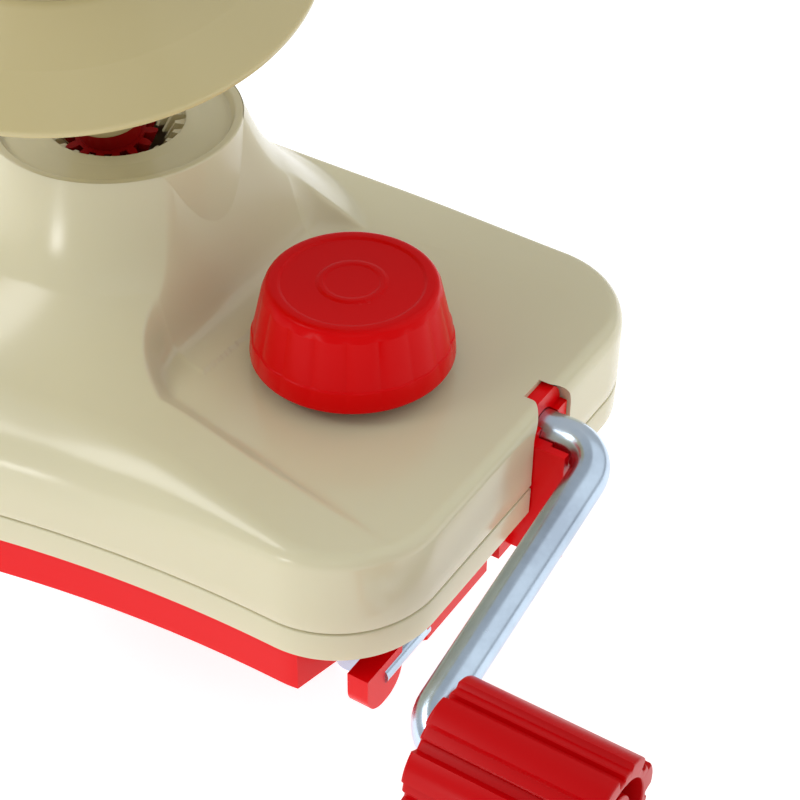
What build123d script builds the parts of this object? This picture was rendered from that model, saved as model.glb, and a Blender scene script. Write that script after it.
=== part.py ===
"""Hand-cranked ball winder that clamps to a table edge.

Millimetres, +Z up. The origin is on the tower axis, on the underside that rests on the table.
+X runs from the tower towards the crank, and -Y is the side that the crank arm points to at rest.
"""

import os
from math import acos, asin, atan, atan2, cos, degrees, hypot, pi, radians, sin, sqrt, tan

from build123d import *

# --- housing outline and levels ---------------------------------------------------------------
END_X = 86.4                 # outer face of the end wall
SIDE_Y = 50.0                # near side, beside the knob
FAR_SIDE_Y = 46.7
END_CORNER_R = 19.0          # plan radius of the two corners at the crank end
FLARE_R = 270.0              # plan radius of the gentle widening towards the tower
TRAY_TOP = 11.5              # red tray below, cream rim above
RIM_TOP = 17.8               # joint between the lower rim and the upper housing
ROOF_Z = 35.0                # top of the shoulders along the edges
ROOF_WALL = 2.9
POCKET_Z = 34.5              # floor of the shallow pocket around the clamp knob
POCKET_X = 25.6              # the pocket's wall towards the tower
POCKET_HALF = 33.0
POCKET_CORNER_R = 8.0
WALL = 2.4
ROOF_EDGE_R = 5.0
TRAY_INSET = 1.7
TRAY_END_X = 82.7
TRAY_FAR_X = 72.0            # the tray's end beyond the crank slot
NOTCH_Y0 = -7.3              # notch in the tray's end that holds the front bearing
NOTCH_Y1 = 16.3
TRAY_WALL = 2.2
FLOOR = 2.0
TRAY_EDGE_R = 3.0

# --- tower --------------------------------------------------------------------------------------
TOWER_TOP = 63.8
TOWER_R = 22.5
FLARE_FOOT_R = 48.0
NECK_R = 30.0
DISH_Z = 62.9                # edge of the hole in the dished top
DISH_HOLE_R = 12.2
DISH_WALL = 1.4

# --- crank ----------------------------------------------------------------------------------------
ROD_R = 3.5
CRANK_Y = 6.8
CRANK_Z = 25.9
ARM_X = 96.6                 # plane that the arm turns in
ARM_LENGTH = 61.5
ARM_DROP = 14.3              # degrees below horizontal at rest
ROD_BEND_R = 7.0
GRIP_X0 = 101.0
GRIP_X1 = 131.0
GRIP_R = 12.9
GRIP_LOBES = 8
RUN_FIT = 0.05               # radial clearance of a shaft in its bore

# --- gears -----------------------------------------------------------------------------------------
PRESSURE = radians(20)
WHEEL_TEETH = 30             # bevel wheel on the crank
PINION_TEETH = 12            # bevel end of the idler
BEVEL_MODULE = 0.9
BEVEL_FACE = 4.5
IDLER_TEETH = 20             # spur end of the idler
MAIN_TEETH = 14              # spur pinion on the main shaft
SPUR_MODULE = 0.8
SPUR_Z0 = 4.4
SPUR_Z1 = 8.6
RING_TEETH = 22              # fixed ring gear in the tower mouth
PLANET_TEETH = 15            # gear under the spool
PLANET_CONE = 19.5           # cone distance at the wide end
PLANET_FACE = 4.0
BACKLASH = 0.40

# --- main shaft and spool ----------------------------------------------------------------------------
MAIN_R = 2.5
APEX_Z = 45.5                # where the shaft bends
SPOOL_TILT = 12.0
SPOOL_AZIMUTH = -67.6
DISC_R = 39.8
DISC_S = 53.5                # distances S run along the tilted shaft from its bend
RIDGE_R = 32.5
RIDGE_S = 60.3
FOOT_R = 24.4
FOOT_S = 65.2
DISC_WALL = 2.2
HUB_R = 9.0
CONE_R0 = 22.0
CONE_R1 = 13.5
CONE_S1 = 122.5
SHAFT_S1 = 114.5

# --- clamp -----------------------------------------------------------------------------------------------
CLAMP_X = 52.65
CLAMP_Y = -4.2
KNOB_Z = 36.5
KNOB_H = 14.9
KNOB_R0 = 17.85
KNOB_R1 = 15.2
KNOB_FLUTES = 18
SCREW_R = 4.0
SCREW_END_Z = -41.0
JAW_TOP = -5.0
JAW_T = 2.6
JAW_PAD_T = 0.7
TONGUE_X0 = 78.2
TONGUE_T = 4.0
TONGUE_Y = -39.4             # centre of the heel tongue under the near corner
TONGUE_HALF = 5.2
TONGUE_Z = -2.0               # lower end of the tongue
HEEL_PIN_R = 1.9
HEEL_PIN_X = 80.9
HEEL_PIN_Z = 3.6
HEEL_PIN_Y1 = -26.0
BLADE_X0 = 62.0              # upright blade that keeps the jaw from turning
BLADE_X1 = 65.0
BLADE_HALF = 4.0
BLADE_TOP = 28.0

# --- yarn guide --------------------------------------------------------------------------------------------
GUIDE_X = -50.0
GUIDE_Z = 44.0
WIRE_R = 1.5
GUIDE_REACH_X = -88.0
GUIDE_TOP_Z = 118.0
EYELET_R = 5.0


def save(shape, node):
    export_step(shape, f"parts/{node}.step")


def cyl(x, y, z0, z1, r):
    return Pos(x, y, (z0 + z1) / 2) * Cylinder(r, z1 - z0)


def tube(x, y, z0, z1, r_out, r_in):
    return cyl(x, y, z0, z1, r_out) - cyl(x, y, z0 - 1, z1 + 1, r_in)


def block(x0, x1, y0, y1, z0, z1):
    return Pos((x0 + x1) / 2, (y0 + y1) / 2, (z0 + z1) / 2) * Box(x1 - x0, y1 - y0, z1 - z0)


def along_x(x0, x1, y, z, r):
    return Pos((x0 + x1) / 2, y, z) * Rot(0, 90, 0) * Cylinder(r, x1 - x0)


def along_y(y0, y1, x, z, r):
    return Pos(x, (y0 + y1) / 2, z) * Rot(90, 0, 0) * Cylinder(r, y1 - y0)


def turned(points):
    """Solid of revolution about Z from (radius, height) points."""
    wire = Polyline([(r, 0, z) for r, z in points], close=True)
    return revolve(make_face(wire), Axis.Z)


# --- gears -------------------------------------------------------------------------------------------------

def involute(angle):
    return tan(angle) - angle


def flank_half_angle(teeth, pitch_r, radius, slack):
    """Half angle of a tooth at a radius; slack is the tooth's thinning along the pitch circle."""
    base_r = pitch_r * cos(PRESSURE)
    here = acos(min(1.0, base_r / radius))
    return pi / (2 * teeth) - slack / (2 * pitch_r) + involute(PRESSURE) - involute(here)


def tooth_points(teeth, pitch_r, module, tip, root, slack):
    """(height above the pitch circle, half angle) down one flank, from the tip to the root."""
    levels = [tip, tip * 0.45, 0.0, root * 0.5, root]
    return [(h * module, flank_half_angle(teeth, pitch_r, pitch_r + h * module, slack)) for h in levels]


def gear_outline(teeth, flank, radius_at, angle_scale, phase):
    """Closed list of points of a gear's outline from one flank."""
    points = []
    for k in range(teeth):
        mid = phase + 2 * pi * k / teeth
        falling = [(radius_at(h), mid + a * angle_scale) for h, a in flank]
        rising = [(radius_at(h), mid - a * angle_scale) for h, a in reversed(flank)]
        points += [(r * cos(t), r * sin(t)) for r, t in rising + falling]
    return points


def spur_gear(teeth, module, z0, z1, phase):
    pitch_r = teeth * module / 2
    flank = tooth_points(teeth, pitch_r, module, 0.9, -1.15, BACKLASH / 2)
    outline = gear_outline(teeth, flank, lambda h: pitch_r + h, 1.0, phase)
    return extrude(Pos(0, 0, z0) * make_face(Polyline(outline, close=True)), z1 - z0)


def bevel_outline(teeth, cone, module, distance, phase, internal, tip):
    """Outline at the height where the pitch cone is at a distance from the apex, and that height."""
    virtual_r = distance * tan(cone)
    root = -0.75 if internal else -1.15
    slack = -BACKLASH / 2 if internal else BACKLASH / 2
    flank = tooth_points(teeth / cos(cone), virtual_r, module, tip, root, slack)
    height = distance * cos(cone)
    outline = gear_outline(
        teeth, flank, lambda h: height * tan(cone + h / distance), 1 / cos(cone), phase)
    return outline, height


def bevel_solid(teeth, cone, module, pitch_distance, span, phase, internal=False, tip=0.8):
    """Straight bevel teeth over a span of cone distances, apex at the origin, opening along +Z.

    The module is the one at the pitch distance, and the teeth shrink towards the apex.
    """
    sections = []
    for distance in span:
        local_module = module * distance / pitch_distance
        outline, height = bevel_outline(teeth, cone, local_module, distance, phase, internal, tip)
        sections.append(Pos(0, 0, height) * make_face(Polyline(outline, close=True)))
    return loft(sections, ruled=True)


IDLER_OFFSET = sqrt(((IDLER_TEETH + MAIN_TEETH) * SPUR_MODULE / 2) ** 2 - CRANK_Y ** 2)
IDLER_X = IDLER_OFFSET
WHEEL_R = WHEEL_TEETH * BEVEL_MODULE / 2
PINION_R = PINION_TEETH * BEVEL_MODULE / 2
WHEEL_CONE = atan2(WHEEL_R, PINION_R)
PINION_CONE = pi / 2 - WHEEL_CONE
BEVEL_DISTANCE = hypot(WHEEL_R, PINION_R)
PLANET_CONE_ANGLE = atan2(
    sin(radians(SPOOL_TILT)), RING_TEETH / PLANET_TEETH - cos(radians(SPOOL_TILT)))
RING_CONE_ANGLE = PLANET_CONE_ANGLE + radians(SPOOL_TILT)
RING_MODULE = 2 * PLANET_CONE * sin(RING_CONE_ANGLE) / RING_TEETH

SPOOL = Pos(0, 0, APEX_Z) * Rot(0, 0, SPOOL_AZIMUTH) * Rot(0, SPOOL_TILT, 0)


# --- housing -----------------------------------------------------------------------------------------------

TAIL_R = hypot(END_X - END_CORNER_R, SIDE_Y + FLARE_R) - FLARE_R


def corner_points(inset, side_y):
    """End, middle and side of one rounded corner at the crank end, for a side at positive y."""
    corner_x = END_X - END_CORNER_R
    corner_y = side_y - END_CORNER_R
    corner_r = END_CORNER_R - inset
    half = corner_r * sin(pi / 4)
    return (END_X - inset, corner_y), (corner_x + half, corner_y + half), (corner_x, side_y - inset)


def plan_face(inset):
    """Plan outline: a straight crank end with round corners, a near side that widens into the
    round tail, and a straight far side that runs into the tail's oval quarter."""
    near_end, near_corner, near_side = [(x, -y) for x, y in corner_points(inset, SIDE_Y)]
    far_end, far_corner, far_side = corner_points(inset, FAR_SIDE_Y)
    flare = FLARE_R + inset
    toward = atan2(SIDE_Y + FLARE_R, END_X - END_CORNER_R)
    half_way = -pi / 2 - (pi / 2 - toward) / 2
    near_mid = (END_X - END_CORNER_R + flare * cos(half_way), -(SIDE_Y + FLARE_R + flare * sin(half_way)))
    tail_r = TAIL_R - inset
    join = (tail_r * cos(toward), -tail_r * sin(toward))
    tail_mid = (tail_r * cos((pi + toward) / 2), -tail_r * sin((pi + toward) / 2))
    far_y = FAR_SIDE_Y - inset
    edges = [
        Line(near_end, far_end),
        ThreePointArc(far_end, far_corner, far_side),
        Line(far_side, (0, far_y)),
        EllipticalCenterArc((0, 0), tail_r, far_y, start_angle=90, arc_size=90),
        ThreePointArc((-tail_r, 0), tail_mid, join),
        ThreePointArc(join, near_mid, near_side),
        ThreePointArc(near_side, near_corner, near_end),
    ]
    return make_face(edges)


def prism(inset, z0, z1):
    return extrude(Pos(0, 0, z0) * plan_face(inset), z1 - z0)


def flare_height(r):
    """Height of the tower's trumpet flare: a broad skirt and a short neck below the rim."""
    skirt = max(0.0, (FLARE_FOOT_R - r) / (FLARE_FOOT_R - TOWER_R)) ** 2.8
    neck = max(0.0, (NECK_R - r) / (NECK_R - TOWER_R)) ** 2
    foot_z = ROOF_Z - 0.3
    return foot_z + (TOWER_TOP - foot_z) * (0.68 * skirt + 0.32 * neck)


def tower_profile(offset):
    """Trumpet flare of the tower as (radius, height) points, moved inwards by offset."""
    points = []
    steps = 12
    for k in range(steps + 1):
        r = FLARE_FOOT_R + (TOWER_R - FLARE_FOOT_R) * k / steps
        slope = (flare_height(r - 0.1) - flare_height(r + 0.1)) / 0.2
        length = hypot(slope, 1)
        points.append((r - offset * slope / length, flare_height(r) - offset / length))
    return points


def tower(offset, top):
    points = [(r, z) for r, z in tower_profile(offset) if z < top - 0.5]
    return turned([(0, ROOF_Z - 6), (points[0][0], ROOF_Z - 6)] + points + [(points[-1][0], top), (0, top)])


SCREW_SPOTS = [(-36, -30), (-34, 27), (64, -38), (64, 36.5)]
SLOT_HALF = 6.5


def pocket():
    """Room above the pocket's floor, open at the crank end, with round corners beside the tower."""
    room = block(POCKET_X, END_X + 20, -POCKET_HALF, POCKET_HALF, POCKET_Z, TOWER_TOP)
    corners = room.edges().filter_by(Axis.Z).group_by(Axis.X)[0]
    return fillet(corners, POCKET_CORNER_R)


def upper_housing():
    shell = prism(0, RIM_TOP, ROOF_Z)
    roof_edges = shell.faces().sort_by(Axis.Z)[-1].edges()
    shell = fillet(roof_edges, ROOF_EDGE_R)
    shell = shell + (tower(0, TOWER_TOP) & prism(ROOF_EDGE_R - 1, 0, TOWER_TOP))
    shell = shell - pocket()
    shell = shell + cyl(CLAMP_X, CLAMP_Y, POCKET_Z - 1, KNOB_Z - 0.3, 8)
    shell = shell - prism(WALL, RIM_TOP - 1, ROOF_Z - ROOF_WALL)
    hollow = tower(WALL, DISH_Z - 6) & block(-80, POCKET_X - WALL, -60, 60, 0, TOWER_TOP)
    shell = shell - (hollow & prism(ROOF_EDGE_R + 1, 0, TOWER_TOP))
    throat = turned([(0, ROOF_Z), (TOWER_R - WALL, ROOF_Z), (TOWER_R - WALL, DISH_Z - 2.2),
                     (DISH_HOLE_R + 2.6, DISH_Z - DISH_WALL), (0, DISH_Z - DISH_WALL)])
    shell = shell - throat
    dish = turned([(0, DISH_Z), (DISH_HOLE_R, DISH_Z), (TOWER_R - 1.2, TOWER_TOP - 1.2),
                   (TOWER_R - 1.0, TOWER_TOP + 1), (0, TOWER_TOP + 1)])
    shell = shell - dish
    shell = shell - cyl(0, 0, DISH_Z - 4, DISH_Z + 1, DISH_HOLE_R)
    for x, y in SCREW_SPOTS:
        shell = shell + tube(x, y, RIM_TOP - 5, ROOF_Z - ROOF_WALL + 1.3, 4.0, 1.4)
    slot = block(END_X - 8, END_X + 1, CRANK_Y - SLOT_HALF, CRANK_Y + SLOT_HALF, RIM_TOP - 1, 27.5)
    slot = slot + along_x(END_X - 8, END_X + 1, CRANK_Y, 27.5, SLOT_HALF)
    shell = shell - slot
    shell = shell - cyl(CLAMP_X, CLAMP_Y, ROOF_Z - 10, KNOB_Z + 1, SCREW_R + 0.25)
    shell = shell + cyl(GUIDE_X, 0, ROOF_Z - 2, GUIDE_Z - 8, 5.5)
    return shell - cyl(GUIDE_X, 0, ROOF_Z - 1.8, GUIDE_Z, 2.5)


def lower_rim():
    ring = prism(0, TRAY_TOP, RIM_TOP) - prism(WALL, TRAY_TOP - 1, RIM_TOP + 1)
    lip = prism(WALL + 0.1, TRAY_TOP + 2, RIM_TOP + 1.6) - prism(WALL + 1.5, TRAY_TOP - 1, RIM_TOP + 3)
    bridge = prism(WALL - 0.5, TRAY_TOP + 2, RIM_TOP - 1) - prism(WALL + 1.5, TRAY_TOP - 1, RIM_TOP + 3)
    rim = ring + lip + bridge
    pocket = prism(WALL, TRAY_TOP - 1, RIM_TOP + 4)
    rim = rim - (pocket & block(74, END_X, TONGUE_Y - 6, TONGUE_Y + 6, TRAY_TOP - 1, RIM_TOP + 4))
    return rim - block(END_X - 8, END_X + 1, CRANK_Y - SLOT_HALF, CRANK_Y + SLOT_HALF, 0, RIM_TOP + 4)


def tray_plan(inset):
    """Tray outline: the housing's, inset, cut square at the crank end and shorter on the far side."""
    plan = plan_face(TRAY_INSET + inset)
    end = TRAY_END_X - inset
    cut = Polyline([(end, -27), (end, NOTCH_Y1 - inset), (TRAY_FAR_X - inset, NOTCH_Y1 - inset),
                    (TRAY_FAR_X - inset, 60), (-70, 60), (-70, -60), (68 - inset, -60),
                    (72.7 - inset * 0.7, -38.7 + inset * 0.3)], close=True)
    return plan & make_face(cut)


def bottom_tray():
    tray = extrude(tray_plan(0), TRAY_TOP)
    bottom = tray.faces().sort_by(Axis.Z)[0].edges()
    tray = chamfer(bottom, TRAY_EDGE_R * 0.6)
    tray = tray - extrude(Pos(0, 0, FLOOR) * tray_plan(TRAY_WALL), TRAY_TOP)
    for x, y in SCREW_SPOTS:
        tray = tray + cyl(x, y, FLOOR - 0.5, RIM_TOP - 5, 4.0)
        tray = tray - cyl(x, y, -1, TRAY_TOP + 5, 1.6) - cyl(x, y, -1, 3.2, 3.2)
    tray = tray + cyl(0, 0, FLOOR - 0.5, 3.5, 6.0)
    tray = tray + cyl(IDLER_X, CRANK_Y, FLOOR - 0.5, 4.0, 4.0)
    tray = tray + cyl(CLAMP_X, CLAMP_Y, FLOOR - 0.5, 14.0, 6.8)
    tray = tray - cyl(CLAMP_X, CLAMP_Y, -1, 15, SCREW_R + 0.25)
    tray = tray - cyl(0, 0, 1.0, 5, 4.0)
    tray = tray - cyl(IDLER_X, CRANK_Y, 1.0, 5, 1.5)
    tray = tray - block(74, END_X, NOTCH_Y0, NOTCH_Y1 + 1, -1, TRAY_TOP + 1) - blade(0.3, -1, FLOOR + 1)
    tray = tray - heel_pin()
    return tray - extrude(table_pad_plan(), 0.9)


def table_pad_plan():
    return Pos(-4, 0, 0) * RectangleRounded(72, 62, 10)


def table_pad():
    return extrude(table_pad_plan(), 0.9)


def housing_screws():
    solids = []
    for x, y in SCREW_SPOTS:
        solids.append(cyl(x, y, 1.4, 3.2, 2.9) + cyl(x, y, 3.2, RIM_TOP + 6, 1.4))
    return Compound(solids)


# --- bearings -----------------------------------------------------------------------------------------------

FRONT_X0 = 74.4
FRONT_X1 = 92.2
BEARING_TOP = 32.4
NOSE_T = 2.4                 # thin cheek beside the rod, outside the end wall
REAR_X0 = 27.0
REAR_X1 = 35.0
BUSH_R = 5.0
BUSH_LENGTH = 7.0


def front_bearing():
    """Red bearing block that fills the slot under the crank rod and shows outside the end wall."""
    half = SLOT_HALF - 0.35
    inner = block(FRONT_X0, END_X - WALL - 1.6, CRANK_Y - half - 2, CRANK_Y + half + 2, 0.6, 29.0)
    foot = block(FRONT_X0, END_X - 4, -2.5, CRANK_Y + half + 2, 0.6, TRAY_TOP - 1)
    nose = block(END_X - 6, FRONT_X1, CRANK_Y - half, CRANK_Y - half + NOSE_T, TRAY_TOP - 9.5, 26.8)
    nose = nose + block(END_X - 6, END_X - 0.6, CRANK_Y - half, CRANK_Y + half, TRAY_TOP, 28.3)
    cap = along_x(END_X - 7, END_X - 2.0, CRANK_Y, 27.5, half)
    body = inner + foot + nose + cap
    body = body & block(FRONT_X0, FRONT_X1, -20, 40, 0.6, BEARING_TOP)
    body = body - along_x(FRONT_X0 - 1, FRONT_X1 + 1, CRANK_Y, CRANK_Z, ROD_R + 0.2)
    body = body - along_x(ARM_X - ROD_BEND_R - 1, FRONT_X1 + 1, CRANK_Y, CRANK_Z, ROD_R + 1.2)
    return body - along_x(FRONT_X0 - 1, FRONT_X0 + BUSH_LENGTH, CRANK_Y, CRANK_Z, BUSH_R)


def rear_bearing():
    body = block(REAR_X0, REAR_X1, CRANK_Y - 7, CRANK_Y + 7, FLOOR, 31.0 - 0.6)
    body = body - along_x(REAR_X0 - 1, REAR_X1 + 1, CRANK_Y, CRANK_Z, BUSH_R)
    return body - block(REAR_X0 - 1, REAR_X1 + 1, CRANK_Y - 4.5, CRANK_Y + 4.5, 4.5, CRANK_Z - 8)


def crank_bush(x0, x1):
    return along_x(x0, x1, CRANK_Y, CRANK_Z, BUSH_R) - along_x(
        x0 - 1, x1 + 1, CRANK_Y, CRANK_Z, ROD_R + RUN_FIT)


def shaft_bridge():
    """Portal frame on the tray floor that carries the main shaft's upper bush."""
    frame = block(-6, 6, -25, 25, 31.0, 36.0)
    for side in (-1, 1):
        frame = frame + block(-6, 6, side * 23 - 2, side * 23 + 2, FLOOR, 31.5)
        frame = frame + block(-9, 9, side * 23 - 3, side * 23 + 3, FLOOR, FLOOR + 2)
    return frame - cyl(0, 0, 30, 37, 4.5)


# --- drive train ---------------------------------------------------------------------------------------------

def crank_rod():
    drop = radians(ARM_DROP)
    grip_y = CRANK_Y - ARM_LENGTH * cos(drop)
    grip_z = CRANK_Z - ARM_LENGTH * sin(drop)
    path = FilletPolyline((19.0, CRANK_Y, CRANK_Z), (ARM_X, CRANK_Y, CRANK_Z),
                          (ARM_X, grip_y, grip_z), (GRIP_X1 - 3.5, grip_y, grip_z), radius=ROD_BEND_R)
    section = Plane(origin=path @ 0, z_dir=path % 0) * Circle(ROD_R)
    return sweep(section, path=path)


def crank_wheel():
    """Bevel wheel on the inner end of the crank rod."""
    near = BEVEL_DISTANCE - BEVEL_FACE
    far = BEVEL_DISTANCE + 0.9
    teeth = bevel_solid(WHEEL_TEETH, WHEEL_CONE, BEVEL_MODULE, BEVEL_DISTANCE, (near, far), 0.0, tip=0.6)
    front = near * cos(WHEEL_CONE)
    back = far * cos(WHEEL_CONE)
    rim_r = WHEEL_R - 0.7
    wheel = teeth + turned([(0, back - 0.05), (rim_r, back - 0.05), (rim_r, back + 1.2),
                            (6.0, back + 2.2), (6.0, back + 7.6), (0, back + 7.6)])
    wheel = wheel - turned([(0, front - 1), (WHEEL_R - 5.4, front - 1), (7.0, back - 0.1), (0, back - 0.1)])
    placed = Pos(IDLER_X, CRANK_Y, CRANK_Z) * Rot(0, 90, 0) * wheel
    return placed - along_x(0, 60, CRANK_Y, CRANK_Z, ROD_R)


def idler_gear():
    """One moulding: a bevel pinion above a spur gear, free on its pin."""
    near = BEVEL_DISTANCE - BEVEL_FACE
    far = BEVEL_DISTANCE - 1.3
    phase = pi / PINION_TEETH
    bevel = bevel_solid(PINION_TEETH, PINION_CONE, BEVEL_MODULE, BEVEL_DISTANCE, (near, far), phase)
    bevel = Pos(0, 0, CRANK_Z) * Rot(180, 0, 0) * bevel
    bevel_low = CRANK_Z - far * cos(PINION_CONE)
    web = cyl(0, 0, SPUR_Z1 - 0.1, bevel_low + 0.1, 4.2)
    spur = spur_gear(IDLER_TEETH, SPUR_MODULE, SPUR_Z0, SPUR_Z1, IDLER_PHASE)
    gear = bevel + web + spur
    return Pos(IDLER_X, CRANK_Y, 0) * gear - cyl(IDLER_X, CRANK_Y, 0, 30, 1.5 + RUN_FIT)


LINE_TO_MAIN = atan2(-CRANK_Y, -IDLER_X)
IDLER_PHASE = LINE_TO_MAIN
MAIN_PHASE = LINE_TO_MAIN + pi + pi / MAIN_TEETH


def main_pinion():
    return spur_gear(MAIN_TEETH, SPUR_MODULE, SPUR_Z0, SPUR_Z1 + 3, MAIN_PHASE) - cyl(0, 0, 0, 30, MAIN_R)


def main_shaft():
    """Steel shaft, upright in its bushes and bent at the apex to carry the tilted spool."""
    top = (SPOOL * Pos(0, 0, SHAFT_S1)).position
    path = FilletPolyline((0, 0, 1.2), (0, 0, APEX_Z), (top.X, top.Y, top.Z), radius=10)
    return sweep(Plane(origin=path @ 0, z_dir=path % 0) * Circle(MAIN_R), path=path)


def ring_gear():
    """Fixed gear with inward teeth, held under the lip of the tower's mouth."""
    span = (PLANET_CONE - PLANET_FACE - 1.5, PLANET_CONE + 1.5)
    hollow = bevel_solid(RING_TEETH, RING_CONE_ANGLE, RING_MODULE, PLANET_CONE, span,
                         radians(SPOOL_AZIMUTH), internal=True, tip=1.15)
    top = PLANET_CONE * cos(RING_CONE_ANGLE)
    bottom = (PLANET_CONE - PLANET_FACE) * cos(RING_CONE_ANGLE)
    outer = TOWER_R - WALL - 0.1
    body = turned([(0, bottom), (outer, bottom), (outer, top - 0.95), (DISH_HOLE_R + 2.2, top - 0.05),
                   (0, top - 0.05)])
    return Pos(0, 0, APEX_Z) * (body - hollow)


def planet_gear():
    far = PLANET_CONE - 0.2
    span = (PLANET_CONE - PLANET_FACE - 0.3, far)
    teeth = bevel_solid(PLANET_TEETH, PLANET_CONE_ANGLE, RING_MODULE, PLANET_CONE, span, 0.0)
    top = far * cos(PLANET_CONE_ANGLE)
    neck = cyl(0, 0, top - 0.2, top + 3.0, 5.5)
    return SPOOL * (teeth + neck - cyl(0, 0, 0, 40, MAIN_R + RUN_FIT))


PLANET_TOP = (PLANET_CONE - 0.2) * cos(PLANET_CONE_ANGLE) + 3.0


# --- spool -----------------------------------------------------------------------------------------------------

def spool_disc():
    drop = DISC_WALL * 1.25
    disc = turned([
        (0, FOOT_S + 0.4), (FOOT_R - 2, FOOT_S + 0.4), (FOOT_R, FOOT_S), (RIDGE_R, RIDGE_S),
        (DISC_R, DISC_S + 0.9), (DISC_R, DISC_S), (DISC_R - 1.6, DISC_S - 0.3),
        (RIDGE_R - 0.9, RIDGE_S - drop), (FOOT_R - 0.6, FOOT_S - drop), (HUB_R + 3, FOOT_S - drop + 0.2),
        (HUB_R, FOOT_S - drop - 3), (HUB_R - 1, PLANET_TOP + 4), (6.5, PLANET_TOP), (0, PLANET_TOP)])
    return SPOOL * (disc - cyl(0, 0, 0, 150, MAIN_R + RUN_FIT))


def spool_cone():
    base = FOOT_S + 0.4
    wall = 2.0
    shell = turned([
        (CONE_R0 - wall, base), (CONE_R0 + 1.2, base), (CONE_R0, base + 2.5), (CONE_R1, CONE_S1 - 2),
        (CONE_R1 - 1.2, CONE_S1), (0, CONE_S1), (0, CONE_S1 - wall), (CONE_R1 - wall, CONE_S1 - wall)])
    stem = cyl(0, 0, CONE_S1 - 18, CONE_S1 - 1, 5.0)
    cone = shell + stem
    slot_length = 34.0
    for k in range(3):
        slot = Rot(0, 0, 120 * k + 40) * block(8, 30, -1.6, 1.6, CONE_S1 - 14 - slot_length, CONE_S1 - 14)
        cone = cone - slot
    return SPOOL * (cone - cyl(0, 0, 0, CONE_S1 - 6, MAIN_R + RUN_FIT))


def spool_collar():
    return SPOOL * tube(0, 0, 12.0, 13.6, 4.4, MAIN_R)


# --- crank end pieces --------------------------------------------------------------------------------------------

GRIP_Y = CRANK_Y - ARM_LENGTH * cos(radians(ARM_DROP))
GRIP_Z = CRANK_Z - ARM_LENGTH * sin(radians(ARM_DROP))


def crank_collar():
    return along_x(36.0, 41.0, CRANK_Y, CRANK_Z, 5.4) - along_x(30, 60, CRANK_Y, CRANK_Z, ROD_R)


def lobed_face(radius, depth, lobes, steps=6):
    points = []
    for k in range(lobes * steps):
        angle = 2 * pi * k / (lobes * steps)
        swell = abs(sin(lobes * angle / 2)) ** 0.6
        points.append(((radius - depth + depth * swell) * cos(angle),
                       (radius - depth + depth * swell) * sin(angle)))
    return make_face(Polyline(points, close=True))


def crank_grip():
    length = GRIP_X1 - GRIP_X0
    body = extrude(lobed_face(GRIP_R, 1.6, GRIP_LOBES), length)
    hollow = tube(0, 0, 4.0, length + 1, GRIP_R - 3.6, 6.0)
    ribs = block(-GRIP_R + 3, GRIP_R - 3, -0.8, 0.8, 4, length - 3)
    ribs = ribs + Rot(0, 0, 90) * ribs
    body = body - (hollow - ribs)
    body = body - cyl(0, 0, -1, length + 1, ROD_R + RUN_FIT)
    body = body - cyl(0, 0, -1, 3.4, ROD_R + 1.0)
    body = body - cyl(0, 0, length - 7, length + 1, 5.0)
    return Pos(GRIP_X0, GRIP_Y, GRIP_Z) * Rot(0, 90, 0) * body


def grip_retainer():
    ring = along_x(GRIP_X1 - 6.4, GRIP_X1 - 5.4, GRIP_Y, GRIP_Z, 4.9)
    return ring - along_x(GRIP_X1 - 8, GRIP_X1, GRIP_Y, GRIP_Z, ROD_R)


# --- clamp ---------------------------------------------------------------------------------------------------------

def knob_section(radius):
    points = []
    steps = 6
    for k in range(KNOB_FLUTES * steps):
        angle = 2 * pi * k / (KNOB_FLUTES * steps)
        r = radius - 0.35 * (1 - cos(KNOB_FLUTES * angle))
        points.append((r * cos(angle), r * sin(angle)))
    return make_face(Polyline(points, close=True))


def clamp_knob():
    top = KNOB_Z + KNOB_H
    body = loft([Pos(0, 0, KNOB_Z) * knob_section(KNOB_R0),
                 Pos(0, 0, top - 1.2) * knob_section(KNOB_R1)], ruled=True)
    body = body + turned([(0, top - 1.4), (KNOB_R1 - 0.8, top - 1.4), (KNOB_R1 - 1.2, top), (0, top)])
    hollow = turned([(6.5, KNOB_Z - 1), (KNOB_R0 - 2.6, KNOB_Z - 1), (KNOB_R1 - 2.8, top - 3),
                     (6.5, top - 3)])
    body = body - hollow - cyl(0, 0, KNOB_Z - 1, top - 4, SCREW_R)
    return Pos(CLAMP_X, CLAMP_Y, 0) * body


def clamp_screw():
    return cyl(CLAMP_X, CLAMP_Y, SCREW_END_Z, KNOB_Z + KNOB_H - 4, SCREW_R)


def screw_collar():
    return tube(CLAMP_X, CLAMP_Y, 28.4, 30.2, 6.6, SCREW_R)


def heel_tongue():
    """Tongue under the housing's corner: wide and rounded below, with a stem up inside the rim."""
    wide = block(TONGUE_X0, TONGUE_X0 + TONGUE_T, TONGUE_Y - TONGUE_HALF, TONGUE_Y + TONGUE_HALF, TONGUE_Z, 7.0)
    wide = fillet(wide.edges().filter_by(Axis.X).group_by(Axis.Z)[0], 4.8)
    stem = block(TONGUE_X0, TONGUE_X0 + 2.4, TONGUE_Y + 0.4, TONGUE_Y + 4.4, 6.0, 12.5)
    return wide + stem - heel_pin()


def heel_pin():
    """Steel pin that holds the tongue to the tray's cut corner."""
    return along_y(TONGUE_Y, HEEL_PIN_Y1, HEEL_PIN_X, HEEL_PIN_Z, HEEL_PIN_R)


def blade(clearance, z0, z1):
    """Upright blade of the jaw, or with clearance the slot that keeps it from turning."""
    return block(BLADE_X0 - clearance, BLADE_X1 + clearance,
                 CLAMP_Y - BLADE_HALF - clearance, CLAMP_Y + BLADE_HALF + clearance, z0, z1)


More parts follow.
